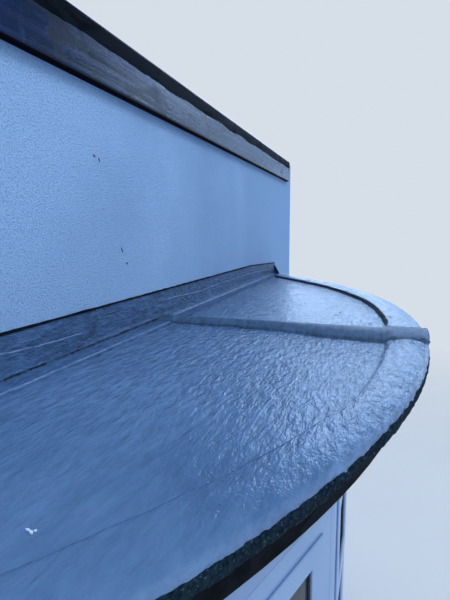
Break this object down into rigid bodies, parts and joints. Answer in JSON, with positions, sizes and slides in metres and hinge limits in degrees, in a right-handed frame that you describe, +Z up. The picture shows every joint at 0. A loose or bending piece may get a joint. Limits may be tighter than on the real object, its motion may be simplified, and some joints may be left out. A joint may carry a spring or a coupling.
{
  "type": "bay window",
  "caption": "Bow-fronted bay window with flat lights, a round-edged flat roof with a raised rim and centre roll, and the rendered house wall that carries it.",
  "frame": {"origin": "on the ground, in the plane of the house wall's outer face, at the middle of the bay", "axes": "+X along the wall to the right seen from the garden, -Y out of the wall, +Z up"},
  "size_m": [4.65, 1.125, 3.462],
  "materials": {
    "render": "painted render, fine bumps",
    "concrete": "rough",
    "dark_timber": "weathered black paint",
    "white_plastic": "smooth, satin",
    "white_boards": "white paint",
    "glass": "clear, dark behind",
    "deck": "plain boards",
    "roof_coating": "grey-blue coating, brushed, glossy",
    "mossy_edge": "mossy, rough"
  },
  "bodies": {
    "root": {"house_wall_left": "render", "house_wall_right": "render", "house_wall_above": "render", "opening_lintel": "concrete", "timber_band": "dark_timber", "bay_plinth": "concrete", "low_wall": "render", "outer_sill": "white_plastic", "window_board": "white_boards", "corner_posts": "white_plastic", "end_posts": "white_plastic", "left_end_frame": "white_plastic", "left_frame": "white_plastic", "centre_frame": "white_plastic", "right_frame": "white_plastic", "right_end_frame": "white_plastic", "left_end_sash": "white_plastic", "left_sash": "white_plastic", "centre_sash": "white_plastic", "right_sash": "white_plastic", "right_end_sash": "white_plastic", "left_end_glass": "glass", "left_glass": "glass", "centre_glass": "glass", "right_glass": "glass", "right_end_glass": "glass", "head_boards": "white_boards", "bay_ceiling": "white_boards", "soffit_board": "dark_timber", "dark_fascia": "dark_timber", "roof_deck": "deck", "roof_sheet_left": "roof_coating", "roof_sheet_right": "roof_coating", "rim_front": "roof_coating", "rim_left_end": "roof_coating", "rim_right_end": "roof_coating", "drip_edge": "mossy_edge", "centre_roll": "roof_coating", "roll_cap": "roof_coating", "cant_fillet": "deck", "wall_flashing": "roof_coating", "flashing_strip": "dark_timber"}
  },
  "joints": []
}
